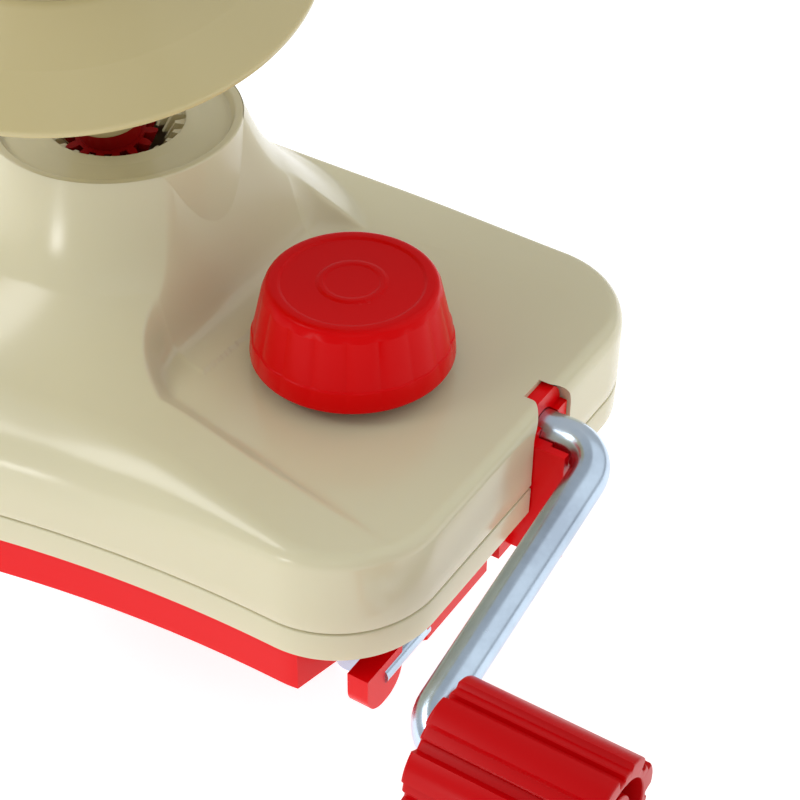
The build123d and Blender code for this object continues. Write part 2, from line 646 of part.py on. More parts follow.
def clamp_jaw():
    low = JAW_TOP - JAW_T
    jaw = extrude(Pos(30, CLAMP_Y, low) * RectangleRounded(92, 44, 8), JAW_T)
    for y in (CLAMP_Y - 14, CLAMP_Y + 14):
        jaw = jaw + block(-8, 70, y - 1.2, y + 1.2, low - 3.0, low + 0.1)
    jaw = jaw + cyl(CLAMP_X, CLAMP_Y, low - 5, low + 0.1, 9.5) + blade(0, low, BLADE_TOP)
    return jaw - cyl(CLAMP_X, CLAMP_Y, -20, 0, SCREW_R + 0.3) - nut_prism(6.55)


def nut_prism(half):
    hexagon = RegularPolygon(half, 6, major_radius=False)
    return extrude(Pos(CLAMP_X, CLAMP_Y, JAW_TOP - JAW_T - 6) * hexagon, 5.0)


def jaw_nut():
    return nut_prism(6.5) - cyl(CLAMP_X, CLAMP_Y, -30, 0, SCREW_R + RUN_FIT)


def jaw_pad():
    plan = Pos(12, CLAMP_Y, JAW_TOP) * RectangleRounded(50, 36, 5)
    return extrude(plan, JAW_PAD_T)


# --- yarn guide -------------------------------------------------------------------------------------------------------

def guide_post():
    """Forked post pressed into the socket behind the tower."""
    post = cyl(GUIDE_X, 0, ROOF_Z - 1.8, GUIDE_Z - 4, 2.5) + cyl(GUIDE_X, 0, GUIDE_Z - 8, GUIDE_Z - 4, 5.5)
    fork = block(GUIDE_X - 4.5, GUIDE_X + 4.5, -5.5, 5.5, GUIDE_Z - 4.5, GUIDE_Z + 4)
    fork = fork - block(GUIDE_X - 6, GUIDE_X + 6, -3.1, 3.1, GUIDE_Z - 4.2, GUIDE_Z + 5)
    return post + fork - along_y(-9, 9, GUIDE_X, GUIDE_Z, 1.5)


def guide_hub():
    hub = along_y(-2.9, 2.9, GUIDE_X, GUIDE_Z, 3.9)
    return hub - along_y(-5, 5, GUIDE_X, GUIDE_Z, 1.5 + RUN_FIT) - guide_wire_shape(WIRE_R)


def guide_wire_shape(radius):
    start = (GUIDE_X - 2.2, 0, GUIDE_Z + 1.0)
    path = FilletPolyline(start, (GUIDE_REACH_X, 0, GUIDE_Z + 18), (GUIDE_REACH_X, 0, GUIDE_TOP_Z), radius=12)
    return sweep(Plane(origin=path @ 0, z_dir=path % 0) * Circle(radius), path=path)


def guide_arm():
    """Wire arm that ends in a ring for the yarn."""
    eyelet = Pos(GUIDE_REACH_X, 0, GUIDE_TOP_Z + EYELET_R - 0.2) * Rot(0, 90, 0) * Torus(EYELET_R, WIRE_R)
    return guide_wire_shape(WIRE_R) + eyelet


def guide_pivot():
    heads = along_y(-7.2, -5.5, GUIDE_X, GUIDE_Z, 2.8) + along_y(5.5, 7.2, GUIDE_X, GUIDE_Z, 2.8)
    return heads + along_y(-6, 6, GUIDE_X, GUIDE_Z, 1.5)


# --- write --------------------------------------------------------------------------------------------------------------

NODES = {
    "upper_housing": upper_housing,
    "lower_rim": lower_rim,
    "bottom_tray": bottom_tray,
    "table_pad": table_pad,
    "housing_screws": housing_screws,
    "front_bearing": front_bearing,
    "rear_bearing": rear_bearing,
    "front_bush": lambda: crank_bush(FRONT_X0, FRONT_X0 + BUSH_LENGTH),
    "rear_bush": lambda: crank_bush(REAR_X0, REAR_X1),
    "shaft_bridge": shaft_bridge,
    "tower_bush": lambda: tube(0, 0, 30.4, 36.4, 4.5, MAIN_R + RUN_FIT),
    "lower_bush": lambda: tube(0, 0, 1.0, 3.8, 4.0, MAIN_R + RUN_FIT),
    "idler_pin": lambda: cyl(IDLER_X, CRANK_Y, 1.0, 18.6, 1.5),
    "idler_clip": lambda: tube(IDLER_X, CRANK_Y, 17.2, 18.0, 2.9, 1.5),
    "ring_gear": ring_gear,
    "guide_post": guide_post,
    "guide_pivot": guide_pivot,
    "crank_rod": crank_rod,
    "crank_wheel": crank_wheel,
    "crank_collar": crank_collar,
    "grip_retainer": grip_retainer,
    "crank_grip": crank_grip,
    "idler_gear": idler_gear,
    "main_shaft": main_shaft,
    "main_pinion": main_pinion,
    "thrust_washer": lambda: tube(0, 0, 3.85, 4.35, 4.6, MAIN_R),
    "spool_collar": spool_collar,
    "planet_gear": planet_gear,
    "spool_disc": spool_disc,
    "spool_cone": spool_cone,
    "clamp_knob": clamp_knob,
    "clamp_screw": clamp_screw,
    "screw_collar": screw_collar,
    "clamp_jaw": clamp_jaw,
    "jaw_nut": jaw_nut,
    "jaw_pad": jaw_pad,
    "heel_tongue": heel_tongue,
    "heel_pin": heel_pin,
    "guide_arm": guide_arm,
    "guide_hub": guide_hub,
}

os.makedirs("parts", exist_ok=True)
for node, make in NODES.items():
    save(make(), node)
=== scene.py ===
"""Looks of a hand-cranked ball winder that clamps to a table edge.

Millimetres in the named values and metres in the scene. The CAD row frame: origin on the tower axis at the
tray's underside, +X towards the crank end, -Y the side that the crank arm points to at rest.
"""

from math import atan2, cos, hypot, pi, radians, sin

import bmesh
import bpy
import numpy as np
from mathutils import Matrix, Vector

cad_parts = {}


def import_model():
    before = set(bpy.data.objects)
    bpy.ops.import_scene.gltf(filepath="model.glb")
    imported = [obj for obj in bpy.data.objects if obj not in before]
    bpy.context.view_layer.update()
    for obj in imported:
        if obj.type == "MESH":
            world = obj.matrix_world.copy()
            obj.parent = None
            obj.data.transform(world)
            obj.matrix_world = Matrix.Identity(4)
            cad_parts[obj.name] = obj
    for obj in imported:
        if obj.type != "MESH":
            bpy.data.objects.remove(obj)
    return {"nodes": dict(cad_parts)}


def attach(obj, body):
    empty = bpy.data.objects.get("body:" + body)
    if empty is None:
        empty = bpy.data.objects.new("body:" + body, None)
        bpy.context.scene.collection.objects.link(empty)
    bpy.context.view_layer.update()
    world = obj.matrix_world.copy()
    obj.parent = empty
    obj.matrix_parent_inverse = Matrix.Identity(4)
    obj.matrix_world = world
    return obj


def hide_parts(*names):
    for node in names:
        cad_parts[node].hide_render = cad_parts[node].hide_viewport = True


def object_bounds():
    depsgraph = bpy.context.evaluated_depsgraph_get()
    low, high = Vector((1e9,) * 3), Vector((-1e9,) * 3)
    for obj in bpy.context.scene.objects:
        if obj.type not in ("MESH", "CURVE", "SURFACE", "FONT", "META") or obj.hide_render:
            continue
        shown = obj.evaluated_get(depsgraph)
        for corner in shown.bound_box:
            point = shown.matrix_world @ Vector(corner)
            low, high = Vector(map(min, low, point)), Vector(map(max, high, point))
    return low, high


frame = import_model()
CAD_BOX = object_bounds()
NODES = frame["nodes"]
MM = 0.001

# --- driving dimensions, in millimetres -----------------------------------------------------------
END_X = 86.4
SIDE_Y = 50.0
FAR_SIDE_Y = 46.7
END_CORNER_R = 19.0
FLARE_R = 270.0
TRAY_TOP = 11.5
RIM_TOP = 17.8
WALL = 2.4
PAD_Z = 34.5
TOWER_TOP = 63.8
TOWER_R = 22.5
DISH_Z = 62.9
DISH_HOLE_R = 12.2
CRANK_Y = 6.8                # centre line of the crank rod and its slot
SLOT_HALF = 6.5
SLOT_ARC_Z = 27.5
CLAMP_X = 52.65
CLAMP_Y = -4.2
KNOB_Z = 36.5
KNOB_H = 14.9
KNOB_R0 = 17.85
KNOB_R1 = 15.2
KNOB_FLUTES = 18
GRIP_X0 = 101.0
GRIP_X1 = 131.0
GRIP_R = 12.9
GRIP_LOBES = 8
ARM_LENGTH = 61.5
ARM_DROP = radians(14.3)
CRANK_Z = 25.9
GRIP_Y = CRANK_Y - ARM_LENGTH * cos(ARM_DROP)
GRIP_Z = CRANK_Z - ARM_LENGTH * sin(ARM_DROP)
APEX_Z = 45.5
SPOOL_TILT = radians(12)
SPOOL_AZIMUTH = radians(-67.6)
DISC_R = 39.8
DISC_S = 53.5
RIDGE_R = 32.5
RIDGE_S = 60.3
FOOT_R = 24.4
FOOT_S = 65.2


# --- mesh helpers ---------------------------------------------------------------------------------

def mesh_object(name, points, faces, crease=32):
    """Smooth closed mesh from points in millimetres, sharp where it bends more than crease degrees."""
    mesh = bpy.data.meshes.new(name)
    mesh.from_pydata([(x * MM, y * MM, z * MM) for x, y, z in points], [], faces)
    shaded = bmesh.new()
    shaded.from_mesh(mesh)
    bmesh.ops.remove_doubles(shaded, verts=shaded.verts, dist=1e-7)
    wires = [edge for edge in shaded.edges if not edge.link_faces]
    bmesh.ops.delete(shaded, geom=wires, context="EDGES")
    bmesh.ops.recalc_face_normals(shaded, faces=shaded.faces)
    shaded.to_mesh(mesh)
    shaded.free()
    mesh.shade_smooth()
    mesh.set_sharp_from_angle(angle=radians(crease))
    piece = bpy.data.objects.new(name, mesh)
    bpy.context.scene.collection.objects.link(piece)
    return piece


def skin(name, rings, crease=32, caps=False):
    """Closed skin over rings of equal length. Without caps, the last ring joins the first."""
    rings = [np.asarray(ring, float) for ring in rings]
    size = len(rings[0])
    points = [tuple(p) for ring in rings for p in ring]
    faces = []
    spans = len(rings) - 1 if caps else len(rings)
    for k in range(spans):
        low = k * size
        high = ((k + 1) % len(rings)) * size
        for i in range(size):
            j = (i + 1) % size
            faces.append((low + i, low + j, high + j, high + i))
    if caps:
        for base in (0, (len(rings) - 1) * size):
            centre = len(points)
            points.append(tuple(np.mean([points[base + i] for i in range(size)], axis=0)))
            faces += [(base + i, base + (i + 1) % size, centre) for i in range(size)]
    return mesh_object(name, points, faces, crease)


def rounded(corners, steps=5):
    """Path through (a, b, radius) corners, each turned by an arc of that radius, as (a, b) points."""
    path = []
    count = len(corners)
    for k, (a, b, radius) in enumerate(corners):
        here = Vector((a, b))
        before = Vector(corners[k - 1][:2]) - here
        after = Vector(corners[(k + 1) % count][:2]) - here
        if radius <= 0 or before.length == 0 or after.length == 0:
            path.append((a, b))
            continue
        half = before.angle(after) / 2
        reach = min(radius / np.tan(half), 0.48 * before.length, 0.48 * after.length)
        start = here + before.normalized() * reach
        end = here + after.normalized() * reach
        for step in range(steps + 1):
            t = step / steps
            point = start * (1 - t) ** 2 + here * 2 * t * (1 - t) + end * t ** 2
            path.append(tuple(point))
    return path


def lathe(name, corners, segments=160, crease=32, steps=5):
    """Solid of revolution about local Z from a closed loop of (radius, height, corner radius)."""
    rings = []
    for radius, height in rounded(corners, steps):
        rings.append([(radius * cos(2 * pi * i / segments), radius * sin(2 * pi * i / segments), height)
                      for i in range(segments)])
    return skin(name, rings, crease)


def smooth_step(low, high, value):
    t = np.clip((value - low) / (high - low), 0, 1)
    return t * t * (3 - 2 * t)


def smooth_min(a, b, blend):
    gap = np.clip(blend - np.abs(a - b), 0, None)
    return np.minimum(a, b) - gap * gap / (4 * blend)


def cut(piece, cutter):
    """Takes the cutter's volume out of the piece and leaves one plain mesh."""
    modifier = piece.modifiers.new("cut", "BOOLEAN")
    modifier.operation = "DIFFERENCE"
    modifier.solver = "EXACT"
    modifier.object = cutter
    depsgraph = bpy.context.evaluated_depsgraph_get()
    result = bpy.data.meshes.new_from_object(piece.evaluated_get(depsgraph))
    piece.modifiers.clear()
    piece.data = result
    piece.data.set_sharp_from_angle(angle=radians(32))


# --- housing outline ------------------------------------------------------------------------------

TAIL_R = hypot(END_X - END_CORNER_R, SIDE_Y + FLARE_R) - FLARE_R


END_STEPS = 64
CORNER_STEPS = 40
SIDE_STEPS = 72
OVAL_STEPS = 84
TAIL_STEPS = 100


def outline():
    """Points and outward normals of the housing's plan, anticlockwise from the near end of the end wall."""
    corner_x = END_X - END_CORNER_R
    points = []
    normals = []

    def arc(centre, radius, start, end, count, sign=1):
        for k in range(count):
            angle = start + (end - start) * k / count
            points.append((centre[0] + radius * cos(angle), centre[1] + radius * sin(angle)))
            normals.append((sign * cos(angle), sign * sin(angle)))

    near_angle = atan2(SIDE_Y + FLARE_R, corner_x)
    near_y = END_CORNER_R - SIDE_Y
    far_y = FAR_SIDE_Y - END_CORNER_R
    for k in range(END_STEPS):
        points.append((END_X, near_y + (far_y - near_y) * k / END_STEPS))
        normals.append((1.0, 0.0))
    arc((corner_x, far_y), END_CORNER_R, 0, pi / 2, CORNER_STEPS)
    for k in range(SIDE_STEPS):
        points.append((corner_x * (1 - k / SIDE_STEPS), FAR_SIDE_Y))
        normals.append((0.0, 1.0))
    for k in range(OVAL_STEPS):
        angle = pi / 2 * (1 + k / OVAL_STEPS)
        points.append((TAIL_R * cos(angle), FAR_SIDE_Y * sin(angle)))
        across = (FAR_SIDE_Y * cos(angle), TAIL_R * sin(angle))
        normals.append((across[0] / hypot(*across), across[1] / hypot(*across)))
    arc((0, 0), TAIL_R, pi, 2 * pi - near_angle, TAIL_STEPS)
    arc((corner_x, -SIDE_Y - FLARE_R), FLARE_R, pi - near_angle, pi / 2, SIDE_STEPS, -1)
    arc((corner_x, near_y), END_CORNER_R, -pi / 2, 0, CORNER_STEPS)
    return np.array(points), np.array(normals)


PLAN, PLAN_NORMAL = outline()
PLAN_ANGLE = np.arctan2(PLAN[:, 1], PLAN[:, 0])


def plan_ring(inset, z):
    xy = PLAN - PLAN_NORMAL * np.reshape(inset, (-1, 1))
    return np.column_stack([xy, np.broadcast_to(z, len(PLAN))])


def circle_ring(radius, z):
    return np.column_stack([radius * np.cos(PLAN_ANGLE), radius * np.sin(PLAN_ANGLE),
                            np.broadcast_to(z, len(PLAN))])


# --- housing top ----------------------------------------------------------------------------------

SOFT_REACH = 11.6            # how far the roof edge's rounding reaches in at the tower end, near side
SOFT_DROP = 13.0             # how far it reaches down there
CRISP_EDGE = 2.4             # both of them at the crank end
FAR_REACH_EXTRA = 0.4
FAR_DROP_EXTRA = 1.8

NEAR_SHOULDER_Z = 35.9
NEAR_SHOULDER_FALL = 2.1
FAR_SHOULDER_Z = 34.5
FAR_SHOULDER_FALL = 1.0

NEAR_FLARE = {"reach": 56.0, "power": 2.3, "skirt_share": 0.62, "neck_r": 30.0}
FAR_FLARE = {"reach": 44.8, "power": 1.3, "skirt_share": 0.81, "neck_r": 29.6}

POCKET_X = 25.6              # foot of the wall between the tower and the knob's pocket
POCKET_CORNER_R = 8.0
POCKET_HALF = 29.6           # half width of the pocket at POCKET_HALF_X
POCKET_HALF_X = 34.0
POCKET_WIDENING = 0.19
POCKET_FALL = 0.02           # slope of the pocket's floor towards the crank
POCKET_FALL_X = 30.0
SIDE_SLOPE = 0.62            # steepness of the pocket's walls along its sides
TOWER_SLOPE = 4.2            # and how much steeper they are beside the tower


def far_share(y):
    """0 on the near side, 1 on the far side, where the shoulders are lower and the flare is tighter."""
    return smooth_step(-20, 25, y)


def edge_fade(x, y):
    """0 where the roof's edge is soft, 1 where it is crisp."""
    share = far_share(y)
    return smooth_step(22 - 52 * share, 80 - 80 * share, x)


def edge_inset(x, y):
    """How far the roof's edge rounding reaches in from the wall."""
    return SOFT_REACH - (SOFT_REACH - CRISP_EDGE) * edge_fade(x, y) + FAR_REACH_EXTRA * far_share(y)


def edge_drop(x, y):
    """How far the rounding reaches down the wall."""
    return SOFT_DROP - (SOFT_DROP - CRISP_EDGE) * edge_fade(x, y) + FAR_DROP_EXTRA * far_share(y)


def shoulder_z(x, y):
    """Height of the roof away from the tower, which falls a little towards the crank."""
    near = NEAR_SHOULDER_Z - NEAR_SHOULDER_FALL * smooth_step(42, 84, x)
    far = FAR_SHOULDER_Z - FAR_SHOULDER_FALL * smooth_step(30, 78, x)
    share = far_share(y)
    return near * (1 - share) + far * share


def flare_share(r, reach, power, skirt_share, neck_r):
    """1 at the tower's rim, falling to 0 at the reach, in a broad skirt and a short neck."""
    skirt = np.clip((reach - r) / (reach - TOWER_R), 0, 1) ** power
    neck = np.clip((neck_r - r) / (neck_r - TOWER_R), 0, 1) ** 2
    return skirt_share * skirt + (1 - skirt_share) * neck


def pocket_walls(x, y):
    """Height of the pocket's floor and walls, and how much of a point's wall stands beside the tower."""
    out_x = POCKET_X - x
    out_y = np.abs(y) - (POCKET_HALF + (x - POCKET_HALF_X) * POCKET_WIDENING)
    corner_x = np.clip(out_x + POCKET_CORNER_R, 0, None)
    corner_y = np.clip(out_y + POCKET_CORNER_R, 0, None)
    inside = np.minimum(np.maximum(out_x, out_y) + POCKET_CORNER_R, 0)
    outside = np.hypot(corner_x, corner_y) + inside - POCKET_CORNER_R
    beside = (corner_x / np.maximum(corner_x + corner_y, 1e-6)) ** 1.5
    slope = SIDE_SLOPE + TOWER_SLOPE * beside
    foot = 0.7 + 0.7 * beside
    floor_z = PAD_Z - POCKET_FALL * (x - POCKET_FALL_X)
    return floor_z + slope * (outside + np.sqrt(outside ** 2 + foot ** 2)) / 2, beside


def roof_height(x, y):
    """Height of the roof: shoulders, the tower's trumpet flare and the pocket around the clamp knob."""
    r = np.hypot(x, y)
    share = far_share(y)
    flare = flare_share(r, **NEAR_FLARE) * (1 - share) + flare_share(r, **FAR_FLARE) * share
    shoulder = shoulder_z(x, y)
    bare = shoulder + (TOWER_TOP - shoulder) * flare
    pocket, beside = pocket_walls(x, y)
    return smooth_min(bare, pocket, 0.3 + 3.0 * beside)


def edge_rings(reach, drop):
    """Wall above the parting line and the rounding from the wall onto the roof."""
    edge_top = roof_height(*(PLAN - PLAN_NORMAL * reach[:, None]).T)
    foot_z = RIM_TOP + 0.5
    rings = [plan_ring(0.0, foot_z + (edge_top - drop - foot_z) * step / 4) for step in range(1, 5)]
    turns = 12
    for step in range(1, turns + 1):
        angle = pi / 2 * step / turns
        ring = plan_ring(reach * (1 - cos(angle)), 0.0)
        height = roof_height(ring[:, 0], ring[:, 1])
        settle = smooth_step(0, 1, step / turns)
        ring[:, 2] = edge_top * (1 - settle) + height * settle - drop * (1 - sin(angle))
        rings.append(ring)
    return rings


def roof_rings(reach):
    """Roof between its rounded edge and the tower's rim, with rings closer together at the rim."""
    rim = plan_ring(reach, 0.0)
    mouth = circle_ring(TOWER_R, 0.0)
    rings = []
    spans = 120
    for step in range(1, spans + 1):
        t = 1 - (1 - step / spans) ** 1.35
        ring = rim * (1 - t) + mouth * t
        ring[:, 2] = roof_height(ring[:, 0], ring[:, 1])
        rings.append(ring)
    return rings


def mouth_rings():
    """Rolled rim of the tower, the shallow dish with its hole, and the throat below it."""
    throat_r = TOWER_R - 2.2
    lip = rounded([(TOWER_R, TOWER_TOP - 0.9, 0), (TOWER_R - 0.05, TOWER_TOP, 0.7),
                   (TOWER_R - 1.5, TOWER_TOP, 0.6), (TOWER_R - 2.4, TOWER_TOP - 1.7, 0.9),
                   (DISH_HOLE_R + 2.5, DISH_Z - 0.5, 1.5), (DISH_HOLE_R, DISH_Z, 0.4),
                   (DISH_HOLE_R, DISH_Z - 1.4, 0), (TOWER_R - 6.0, DISH_Z - 1.9, 0),
                   (throat_r, DISH_Z - 2.6, 0), (throat_r, PAD_Z - 2.0, 0)])
    return [circle_ring(r, z) for r, z in lip[1:]]


def inner_rings(reach, drop):
    """Underside of the roof, from the throat out to the wall."""
    inner_z = PAD_Z - 2.4
    below = circle_ring(TOWER_R - 1.0, inner_z)
    outer = plan_ring(reach + 1.5, inner_z)
    rings = [below * (1 - step / 4) + outer * (step / 4) for step in range(5)]
    return rings + [plan_ring(WALL, inner_z - drop)]


def upper_housing():
    """Cream shell: walls, rounded roof edge, flared tower with its dished mouth, and an inner skin."""
    foot = [plan_ring(WALL, RIM_TOP), plan_ring(0.45, RIM_TOP), plan_ring(0.12, RIM_TOP + 0.15),
            plan_ring(0.0, RIM_TOP + 0.5)]
    reach = edge_inset(*PLAN.T)
    drop = edge_drop(*PLAN.T)
    top = edge_rings(reach, drop) + roof_rings(reach)
    return skin("housing_shell", foot + top + mouth_rings() + inner_rings(reach, drop))


def slot_cutter():
    """Arched opening of the end wall that the crank rod passes through."""
    profile = [(CRANK_Y - SLOT_HALF, TRAY_TOP - 6), (CRANK_Y + SLOT_HALF, TRAY_TOP - 6)]
    for k in range(25):
        angle = pi * k / 24
        profile.append((CRANK_Y + SLOT_HALF * cos(angle), SLOT_ARC_Z + SLOT_HALF * sin(angle)))
    rings = [[(x, y, z) for y, z in profile] for x in (END_X - 4.5, END_X + 5)]
    return skin("slot_cutter", rings, caps=True)


def lower_rim():
    """Cream rim under the parting line, with the fine groove between the two mouldings."""
    section = rounded([(WALL, TRAY_TOP, 0), (0.1, TRAY_TOP, 0.5), (0.0, RIM_TOP - 0.7, 0),
                       (0.05, RIM_TOP - 0.35, 0.3), (0.55, RIM_TOP - 0.2, 0), (WALL, RIM_TOP - 0.2, 0)], 4)
    return skin("housing_rim", [plan_ring(inset, z) for inset, z in section])


# --- knob, grip and spool -------------------------------------------------------------------------

def clamp_knob():
    """Fluted knob: shallow wide flutes, a rounded crown with a faint ring, and an open underside."""
    top = KNOB_Z + KNOB_H
    section = rounded([
        (KNOB_R0 - 2.4, KNOB_Z, 0.6), (KNOB_R0, KNOB_Z, 0.8), (KNOB_R0 - 0.35, KNOB_Z + 4.2, 0.3),
        (KNOB_R0 - 0.6, KNOB_Z + 4.4, 0.3), (KNOB_R1 + 0.15, top - 2.0, 0.6),
        (KNOB_R1 - 0.7, top - 0.1, 1.3),
        (KNOB_R1 - 2.6, top - 0.15, 0.6), (KNOB_R1 - 3.1, top - 0.45, 0.5), (6.2, top - 0.5, 0.4),
        (5.6, top - 0.32, 0.3), (5.0, top - 0.32, 0.3), (4.5, top - 0.45, 0.3), (0.0, top - 0.5, 0)], 4)
    underside = [(0.0, top - 3.0), (KNOB_R1 - 2.8, top - 3.0)]
    samples = KNOB_FLUTES * 16
    angles = 2 * pi * np.arange(samples) / samples
    wave = np.abs(np.sin(KNOB_FLUTES * angles / 2)) ** 0.7
    rings = []
    for r, z in section + underside:
        on_wall = smooth_step(KNOB_Z + 0.6, KNOB_Z + 1.8, z) * (1 - smooth_step(top - 2.6, top - 1.2, z))
        depth = 0.3 * on_wall * (r > KNOB_R1 - 0.5)
        radii = r - depth * (1 - wave)
        rings.append(np.column_stack([radii * np.cos(angles), radii * np.sin(angles), np.full(samples, z)]))
    piece = skin("clamp_knob_shell", rings, crease=40)
    piece.data.transform(Matrix.Translation((CLAMP_X * MM, CLAMP_Y * MM, 0)))
    return piece


def lobed_radius(angle, outer):
    """Grip section: each lobe has a crown, a lower shelf beside it and a groove."""
    phase = np.mod(angle * GRIP_LOBES / (2 * pi), 1.0)
    shelf = smooth_step(0.50, 0.54, phase) * (1 - smooth_step(0.965, 1.0, phase))
    groove = smooth_step(0.74, 0.78, phase) * (1 - smooth_step(0.955, 1.0, phase))
    crown = 0.25 * np.sin(pi * np.clip(phase / 0.52, 0, 1))
    return outer - 0.25 + crown - 0.9 * shelf - 0.9 * groove


def crank_grip():
    """Hollow lobed grip with a hub, open at its outer end."""
    length = GRIP_X1 - GRIP_X0
    samples = GRIP_LOBES * 40
    angles = 2 * pi * np.arange(samples) / samples
    section = rounded([
        (4.4, 0.0, 0.2), (GRIP_R, 0.0, 0.7), (GRIP_R, length, 0.5), (GRIP_R - 3.4, length, 0.3),
        (GRIP_R - 3.4, 5.0, 0.5), (6.6, 5.0, 0.5), (6.4, length - 0.6, 0.3), (5.0, length - 0.6, 0.2),
        (5.0, length - 7.0, 0), (3.6, length - 7.0, 0), (3.6, 3.4, 0), (4.4, 3.4, 0)], 4)
    rings = []
    for r, z in section:
        lobe = smooth_step(GRIP_R - 2.6, GRIP_R - 1.0, r)
        radii = r + lobe * (lobed_radius(angles, GRIP_R) - GRIP_R)
        rings.append(np.column_stack([radii * np.cos(angles), radii * np.sin(angles), np.full(samples, z)]))
    piece = skin("crank_grip_shell", rings, crease=28)
    place = Matrix.Translation((GRIP_X0 * MM, GRIP_Y * MM, GRIP_Z * MM)) @ Matrix.Rotation(pi / 2, 4, "Y")
    piece.data.transform(place)
    return piece


def spool_matrix():
    return (Matrix.Translation((0, 0, APEX_Z * MM)) @ Matrix.Rotation(SPOOL_AZIMUTH, 4, "Z")
            @ Matrix.Rotation(SPOOL_TILT, 4, "Y"))


def spool_disc():
    """Domed disc with a rolled edge and a hub below."""
    box_low = 21.5
    drop = 2.6
    disc = lathe("spool_disc_shell", [
        (2.6, box_low, 0), (6.3, box_low, 0.5), (8.2, box_low + 4, 2.0), (9.0, FOOT_S - drop - 3, 3.0),
        (12.0, FOOT_S - drop, 2.5), (FOOT_R - 0.8, FOOT_S - drop, 3.0),
        (RIDGE_R - 1.0, RIDGE_S - drop, 3.0),
        (DISC_R - 1.7, DISC_S - 0.3, 0.3), (DISC_R - 0.2, DISC_S - 0.2, 0.6), (DISC_R, DISC_S + 1.1, 0.9),
        (RIDGE_R + 0.2, RIDGE_S + 0.1, 2.0), (FOOT_R, FOOT_S + 0.2, 2.5), (FOOT_R - 1.6, FOOT_S + 0.4, 1.0),
        (2.6, FOOT_S + 0.4, 0)], segments=220, crease=40, steps=8)
    disc.data.transform(spool_matrix())
    return disc


# --- materials ------------------------------------------------------------------------------------

def srgb(red, green, blue):
    """Linear colour from 0-255 display values."""
    def linear(value):
        value /= 255
        return value / 12.92 if value <= 0.04045 else ((value + 0.055) / 1.055) ** 2.4
    return (linear(red), linear(green), linear(blue), 1.0)


class Nodes:
    """Small helper that adds nodes to one material and links them."""

    def __init__(self, name):
        self.material = bpy.data.materials.new(name)
        self.material.use_nodes = True
        self.tree = self.material.node_tree
        self.shader = next(n for n in self.tree.nodes if n.type == "BSDF_PRINCIPLED")

    def add(self, kind, **values):
        node = self.tree.nodes.new(kind)
        for key, value in values.items():
            if hasattr(node, key):
                setattr(node, key, value)
            else:
                node.inputs[key.replace("_", " ")].default_value = value
        return node

    def link(self, start, socket, end, target):
        self.tree.links.new(start.outputs[socket], end.inputs[target])

    def set(self, **values):
        for key, value in values.items():
            self.shader.inputs[key.replace("_", " ")].default_value = value

    def noise(self, scale, detail=3.0, roughness=0.5, stretch=(1, 1, 1)):
        place = self.add("ShaderNodeTexCoord")
        mapping = self.add("ShaderNodeMapping")
        mapping.inputs["Scale"].default_value = stretch
        noise = self.add("ShaderNodeTexNoise", Scale=scale, Detail=detail, Roughness=roughness)
        self.link(place, "Object", mapping, "Vector")
        self.link(mapping, "Vector", noise, "Vector")
        return noise

    def ramp(self, source, socket, stops, target):
        ramp = self.add("ShaderNodeValToRGB")
        elements = ramp.color_ramp.elements
        while len(elements) < len(stops):
            elements.new(0.5)
        for element, (position, colour) in zip(elements, stops):
            element.position = position
            element.color = colour
        self.link(source, socket, ramp, "Fac")
        self.link(ramp, "Color", self.shader, target)
        return ramp

    def spread(self, source, socket, low, high, target):
        spread = self.add("ShaderNodeMapRange")
        spread.inputs["To Min"].default_value = low
        spread.inputs["To Max"].default_value = high
        self.link(source, socket, spread, "Value")
        self.link(spread, "Result", self.shader, target)

    def bump(self, source, socket, strength, distance, earlier=None):
        bump = self.add("ShaderNodeBump", Strength=strength, Distance=distance)
        self.link(source, socket, bump, "Height")
        if earlier:
            self.link(earlier, "Normal", bump, "Normal")
        self.link(bump, "Normal", self.shader, "Normal")
        return bump


def moulded_plastic(name, base, shade, roughness, gloss, scatter, scatter_colour):
    """Glossy moulded plastic: slight flow marks in colour, fine orange peel and a few duller patches."""
    nodes = Nodes(name)
    flow = nodes.noise(14.0, 2.0, 0.4, (1, 1, 0.6))
    nodes.ramp(flow, "Fac", [(0.3, shade), (0.7, base)], "Base Color")
    patches = nodes.noise(95.0, 5.0, 0.6)
    nodes.spread(patches, "Fac", roughness - 0.03, roughness + 0.03, "Roughness")
    swell = nodes.noise(60.0, 2.0, 0.4)
    peel = nodes.noise(900.0, 3.0, 0.6)
    wide = nodes.bump(swell, "Fac", 0.04, 0.0003)
    nodes.bump(peel, "Fac", 0.02, 0.00002, wide)
    nodes.set(Specular_IOR_Level=gloss, Subsurface_Weight=scatter, Subsurface_Scale=0.004,
              Subsurface_Radius=scatter_colour, IOR=1.5)
    return nodes.material


def zinc_steel():
    """Bright zinc plate: cool grey with soft clouds, drawing lines and small dull spots."""
    nodes = Nodes("zinc_steel_look")
    clouds = nodes.noise(55.0, 5.0, 0.6)
    nodes.ramp(clouds, "Fac", [(0.3, srgb(172, 188, 206)), (0.55, srgb(194, 212, 230)),
                               (0.75, srgb(214, 226, 238))], "Base Color")
    spots = nodes.noise(240.0, 4.0, 0.65)
    nodes.spread(spots, "Fac", 0.13, 0.34, "Roughness")
    lines = nodes.noise(420.0, 3.0, 0.6, (0.15, 1, 1))
    nodes.bump(lines, "Fac", 0.06, 0.00004)
    nodes.set(Metallic=1.0)
    return nodes.material


